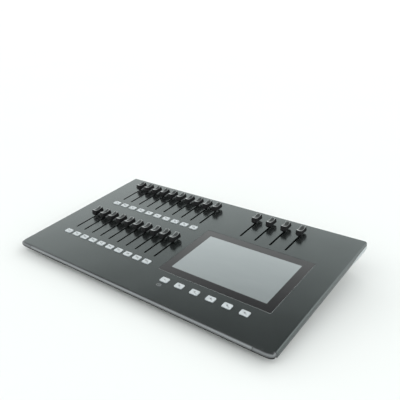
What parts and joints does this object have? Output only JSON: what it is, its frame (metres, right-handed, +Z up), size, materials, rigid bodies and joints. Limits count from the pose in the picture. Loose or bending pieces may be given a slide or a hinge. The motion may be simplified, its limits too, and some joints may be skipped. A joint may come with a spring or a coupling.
{
  "type": "lighting control desk",
  "caption": "Low wedge-shaped desktop lighting console with two banks of channel faders, a short playback bank, sprung translucent keys, an angled touch screen and rear sockets.",
  "frame": {"origin": "middle of the desk's box in plan, on the table top", "axes": "+X to the operator's right along the width, +Y from the operator to the back, +Z up"},
  "size_m": [0.459, 0.2614, 0.0601],
  "materials": {
    "cover_paint": "fine-textured satin black powder coat",
    "pan_paint": "fine-textured matt black powder coat",
    "trim_plastic": "satin moulded black plastic",
    "screen_glass": "glossy black-backed touch glass over a dark, unlit display",
    "display_metal": "plain zinc-plated steel tray",
    "fader_steel": "plated pressed steel",
    "board_laminate": "green solder mask",
    "connector_plastic": "black moulded plastic and black-plated shells",
    "knob_plastic": "satin moulded black plastic on a plated steel lever",
    "key_plastic": "frosted translucent white plastic, back-lit when in use",
    "foot_rubber": "matt black rubber",
    "screw_steel": "black zinc-plated steel"
  },
  "bodies": {
    "desk": {"top_cover": "cover_paint", "base_pan": "pan_paint", "front_trim": "trim_plastic", "display_glass": "screen_glass", "display_module": "display_metal", "fader_housings": "fader_steel", "circuit_boards": "board_laminate", "rear_connectors": "connector_plastic", "rubber_feet": "foot_rubber", "pillars_and_screws": "screw_steel"},
    "channel_fader_01": {"channel_fader_01": "knob_plastic"},
    "channel_fader_02": {"channel_fader_02": "knob_plastic"},
    "channel_fader_03": {"channel_fader_03": "knob_plastic"},
    "channel_fader_04": {"channel_fader_04": "knob_plastic"},
    "channel_fader_05": {"channel_fader_05": "knob_plastic"},
    "channel_fader_06": {"channel_fader_06": "knob_plastic"},
    "channel_fader_07": {"channel_fader_07": "knob_plastic"},
    "channel_fader_08": {"channel_fader_08": "knob_plastic"},
    "channel_fader_09": {"channel_fader_09": "knob_plastic"},
    "channel_fader_10": {"channel_fader_10": "knob_plastic"},
    "channel_fader_11": {"channel_fader_11": "knob_plastic"},
    "channel_fader_12": {"channel_fader_12": "knob_plastic"},
    "channel_fader_13": {"channel_fader_13": "knob_plastic"},
    "channel_fader_14": {"channel_fader_14": "knob_plastic"},
    "channel_fader_15": {"channel_fader_15": "knob_plastic"},
    "channel_fader_16": {"channel_fader_16": "knob_plastic"},
    "channel_fader_17": {"channel_fader_17": "knob_plastic"},
    "channel_fader_18": {"channel_fader_18": "knob_plastic"},
    "channel_fader_19": {"channel_fader_19": "knob_plastic"},
    "channel_fader_20": {"channel_fader_20": "knob_plastic"},
    "playback_fader_1": {"playback_fader_1": "knob_plastic"},
    "playback_fader_2": {"playback_fader_2": "knob_plastic"},
    "playback_fader_3": {"playback_fader_3": "knob_plastic"},
    "playback_fader_4": {"playback_fader_4": "knob_plastic"},
    "bump_button_01": {"bump_button_01": "key_plastic"},
    "bump_button_02": {"bump_button_02": "key_plastic"},
    "bump_button_03": {"bump_button_03": "key_plastic"},
    "bump_button_04": {"bump_button_04": "key_plastic"},
    "bump_button_05": {"bump_button_05": "key_plastic"},
    "bump_button_06": {"bump_button_06": "key_plastic"},
    "bump_button_07": {"bump_button_07": "key_plastic"},
    "bump_button_08": {"bump_button_08": "key_plastic"},
    "bump_button_09": {"bump_button_09": "key_plastic"},
    "bump_button_10": {"bump_button_10": "key_plastic"},
    "bump_button_11": {"bump_button_11": "key_plastic"},
    "bump_button_12": {"bump_button_12": "key_plastic"},
    "bump_button_13": {"bump_button_13": "key_plastic"},
    "bump_button_14": {"bump_button_14": "key_plastic"},
    "bump_button_15": {"bump_button_15": "key_plastic"},
    "bump_button_16": {"bump_button_16": "key_plastic"},
    "bump_button_17": {"bump_button_17": "key_plastic"},
    "bump_button_18": {"bump_button_18": "key_plastic"},
    "bump_button_19": {"bump_button_19": "key_plastic"},
    "bump_button_20": {"bump_button_20": "key_plastic"},
    "screen_key_1": {"screen_key_1": "key_plastic"},
    "screen_key_2": {"screen_key_2": "key_plastic"},
    "screen_key_3": {"screen_key_3": "key_plastic"},
    "screen_key_4": {"screen_key_4": "key_plastic"},
    "screen_key_5": {"screen_key_5": "key_plastic"},
    "screen_key_6": {"screen_key_6": "key_plastic"}
  },
  "joints": [
    {"name": "channel_fader_01_slide", "type": "slide", "parent": "desk", "child": "channel_fader_01", "axis": [0, 0.9903, 0.1392], "range_m": [-0.045, 0]},
    {"name": "channel_fader_02_slide", "type": "slide", "parent": "desk", "child": "channel_fader_02", "axis": [0, 0.9903, 0.1392], "range_m": [-0.045, 0]},
    {"name": "channel_fader_03_slide", "type": "slide", "parent": "desk", "child": "channel_fader_03", "axis": [0, 0.9903, 0.1392], "range_m": [-0.045, 0]},
    {"name": "channel_fader_04_slide", "type": "slide", "parent": "desk", "child": "channel_fader_04", "axis": [0, 0.9903, 0.1392], "range_m": [-0.045, 0]},
    {"name": "channel_fader_05_slide", "type": "slide", "parent": "desk", "child": "channel_fader_05", "axis": [0, 0.9903, 0.1392], "range_m": [-0.045, 0]},
    {"name": "channel_fader_06_slide", "type": "slide", "parent": "desk", "child": "channel_fader_06", "axis": [0, 0.9903, 0.1392], "range_m": [-0.045, 0]},
    {"name": "channel_fader_07_slide", "type": "slide", "parent": "desk", "child": "channel_fader_07", "axis": [0, 0.9903, 0.1392], "range_m": [-0.045, 0]},
    {"name": "channel_fader_08_slide", "type": "slide", "parent": "desk", "child": "channel_fader_08", "axis": [0, 0.9903, 0.1392], "range_m": [-0.045, 0]},
    {"name": "channel_fader_09_slide", "type": "slide", "parent": "desk", "child": "channel_fader_09", "axis": [0, 0.9903, 0.1392], "range_m": [-0.045, 0]},
    {"name": "channel_fader_10_slide", "type": "slide", "parent": "desk", "child": "channel_fader_10", "axis": [0, 0.9903, 0.1392], "range_m": [-0.045, 0]},
    {"name": "channel_fader_11_slide", "type": "slide", "parent": "desk", "child": "channel_fader_11", "axis": [0, 0.9903, 0.1392], "range_m": [-0.045, 0]},
    {"name": "channel_fader_12_slide", "type": "slide", "parent": "desk", "child": "channel_fader_12", "axis": [0, 0.9903, 0.1392], "range_m": [-0.045, 0]},
    {"name": "channel_fader_13_slide", "type": "slide", "parent": "desk", "child": "channel_fader_13", "axis": [0, 0.9903, 0.1392], "range_m": [-0.045, 0]},
    {"name": "channel_fader_14_slide", "type": "slide", "parent": "desk", "child": "channel_fader_14", "axis": [0, 0.9903, 0.1392], "range_m": [-0.045, 0]},
    {"name": "channel_fader_15_slide", "type": "slide", "parent": "desk", "child": "channel_fader_15", "axis": [0, 0.9903, 0.1392], "range_m": [-0.045, 0]},
    {"name": "channel_fader_16_slide", "type": "slide", "parent": "desk", "child": "channel_fader_16", "axis": [0, 0.9903, 0.1392], "range_m": [-0.045, 0]},
    {"name": "channel_fader_17_slide", "type": "slide", "parent": "desk", "child": "channel_fader_17", "axis": [0, 0.9903, 0.1392], "range_m": [-0.045, 0]},
    {"name": "channel_fader_18_slide", "type": "slide", "parent": "desk", "child": "channel_fader_18", "axis": [0, 0.9903, 0.1392], "range_m": [-0.045, 0]},
    {"name": "channel_fader_19_slide", "type": "slide", "parent": "desk", "child": "channel_fader_19", "axis": [0, 0.9903, 0.1392], "range_m": [-0.045, 0]},
    {"name": "channel_fader_20_slide", "type": "slide", "parent": "desk", "child": "channel_fader_20", "axis": [0, 0.9903, 0.1392], "range_m": [-0.045, 0]},
    {"name": "playback_fader_1_slide", "type": "slide", "parent": "desk", "child": "playback_fader_1", "axis": [0, 0.9903, 0.1392], "range_m": [-0.045, 0]},
    {"name": "playback_fader_2_slide", "type": "slide", "parent": "desk", "child": "playback_fader_2", "axis": [0, 0.9903, 0.1392], "range_m": [-0.045, 0]},
    {"name": "playback_fader_3_slide", "type": "slide", "parent": "desk", "child": "playback_fader_3", "axis": [0, 0.9903, 0.1392], "range_m": [-0.045, 0]},
    {"name": "playback_fader_4_slide", "type": "slide", "parent": "desk", "child": "playback_fader_4", "axis": [0, 0.9903, 0.1392], "range_m": [-0.045, 0]},
    {"name": "bump_button_01_press", "type": "slide", "parent": "desk", "child": "bump_button_01", "axis": [0, 0.1392, -0.9903], "range_m": [0, 0.0008], "stiffness_N_per_m": 400, "springref_m": -0.0008},
    {"name": "bump_button_02_press", "type": "slide", "parent": "desk", "child": "bump_button_02", "axis": [0, 0.1392, -0.9903], "range_m": [0, 0.0008], "stiffness_N_per_m": 400, "springref_m": -0.0008},
    {"name": "bump_button_03_press", "type": "slide", "parent": "desk", "child": "bump_button_03", "axis": [0, 0.1392, -0.9903], "range_m": [0, 0.0008], "stiffness_N_per_m": 400, "springref_m": -0.0008},
    {"name": "bump_button_04_press", "type": "slide", "parent": "desk", "child": "bump_button_04", "axis": [0, 0.1392, -0.9903], "range_m": [0, 0.0008], "stiffness_N_per_m": 400, "springref_m": -0.0008},
    {"name": "bump_button_05_press", "type": "slide", "parent": "desk", "child": "bump_button_05", "axis": [0, 0.1392, -0.9903], "range_m": [0, 0.0008], "stiffness_N_per_m": 400, "springref_m": -0.0008},
    {"name": "bump_button_06_press", "type": "slide", "parent": "desk", "child": "bump_button_06", "axis": [0, 0.1392, -0.9903], "range_m": [0, 0.0008], "stiffness_N_per_m": 400, "springref_m": -0.0008},
    {"name": "bump_button_07_press", "type": "slide", "parent": "desk", "child": "bump_button_07", "axis": [0, 0.1392, -0.9903], "range_m": [0, 0.0008], "stiffness_N_per_m": 400, "springref_m": -0.0008},
    {"name": "bump_button_08_press", "type": "slide", "parent": "desk", "child": "bump_button_08", "axis": [0, 0.1392, -0.9903], "range_m": [0, 0.0008], "stiffness_N_per_m": 400, "springref_m": -0.0008},
    {"name": "bump_button_09_press", "type": "slide", "parent": "desk", "child": "bump_button_09", "axis": [0, 0.1392, -0.9903], "range_m": [0, 0.0008], "stiffness_N_per_m": 400, "springref_m": -0.0008},
    {"name": "bump_button_10_press", "type": "slide", "parent": "desk", "child": "bump_button_10", "axis": [0, 0.1392, -0.9903], "range_m": [0, 0.0008], "stiffness_N_per_m": 400, "springref_m": -0.0008},
    {"name": "bump_button_11_press", "type": "slide", "parent": "desk", "child": "bump_button_11", "axis": [0, 0.1392, -0.9903], "range_m": [0, 0.0008], "stiffness_N_per_m": 400, "springref_m": -0.0008},
    {"name": "bump_button_12_press", "type": "slide", "parent": "desk", "child": "bump_button_12", "axis": [0, 0.1392, -0.9903], "range_m": [0, 0.0008], "stiffness_N_per_m": 400, "springref_m": -0.0008},
    {"name": "bump_button_13_press", "type": "slide", "parent": "desk", "child": "bump_button_13", "axis": [0, 0.1392, -0.9903], "range_m": [0, 0.0008], "stiffness_N_per_m": 400, "springref_m": -0.0008},
    {"name": "bump_button_14_press", "type": "slide", "parent": "desk", "child": "bump_button_14", "axis": [0, 0.1392, -0.9903], "range_m": [0, 0.0008], "stiffness_N_per_m": 400, "springref_m": -0.0008},
    {"name": "bump_button_15_press", "type": "slide", "parent": "desk", "child": "bump_button_15", "axis": [0, 0.1392, -0.9903], "range_m": [0, 0.0008], "stiffness_N_per_m": 400, "springref_m": -0.0008},
    {"name": "bump_button_16_press", "type": "slide", "parent": "desk", "child": "bump_button_16", "axis": [0, 0.1392, -0.9903], "range_m": [0, 0.0008], "stiffness_N_per_m": 400, "springref_m": -0.0008},
    {"name": "bump_button_17_press", "type": "slide", "parent": "desk", "child": "bump_button_17", "axis": [0, 0.1392, -0.9903], "range_m": [0, 0.0008], "stiffness_N_per_m": 400, "springref_m": -0.0008},
    {"name": "bump_button_18_press", "type": "slide", "parent": "desk", "child": "bump_button_18", "axis": [0, 0.1392, -0.9903], "range_m": [0, 0.0008], "stiffness_N_per_m": 400, "springref_m": -0.0008},
    {"name": "bump_button_19_press", "type": "slide", "parent": "desk", "child": "bump_button_19", "axis": [0, 0.1392, -0.9903], "range_m": [0, 0.0008], "stiffness_N_per_m": 400, "springref_m": -0.0008},
    {"name": "bump_button_20_press", "type": "slide", "parent": "desk", "child": "bump_button_20", "axis": [0, 0.1392, -0.9903], "range_m": [0, 0.0008], "stiffness_N_per_m": 400, "springref_m": -0.0008},
    {"name": "screen_key_1_press", "type": "slide", "parent": "desk", "child": "screen_key_1", "axis": [0, 0.1392, -0.9903], "range_m": [0, 0.0008], "stiffness_N_per_m": 400, "springref_m": -0.0008},
    {"name": "screen_key_2_press", "type": "slide", "parent": "desk", "child": "screen_key_2", "axis": [0, 0.1392, -0.9903], "range_m": [0, 0.0008], "stiffness_N_per_m": 400, "springref_m": -0.0008},
    {"name": "screen_key_3_press", "type": "slide", "parent": "desk", "child": "screen_key_3", "axis": [0, 0.1392, -0.9903], "range_m": [0, 0.0008], "stiffness_N_per_m": 400, "springref_m": -0.0008},
    {"name": "screen_key_4_press", "type": "slide", "parent": "desk", "child": "screen_key_4", "axis": [0, 0.1392, -0.9903], "range_m": [0, 0.0008], "stiffness_N_per_m": 400, "springref_m": -0.0008},
    {"name": "screen_key_5_press", "type": "slide", "parent": "desk", "child": "screen_key_5", "axis": [0, 0.1392, -0.9903], "range_m": [0, 0.0008], "stiffness_N_per_m": 400, "springref_m": -0.0008},
    {"name": "screen_key_6_press", "type": "slide", "parent": "desk", "child": "screen_key_6", "axis": [0, 0.1392, -0.9903], "range_m": [0, 0.0008], "stiffness_N_per_m": 400, "springref_m": -0.0008}
  ]
}
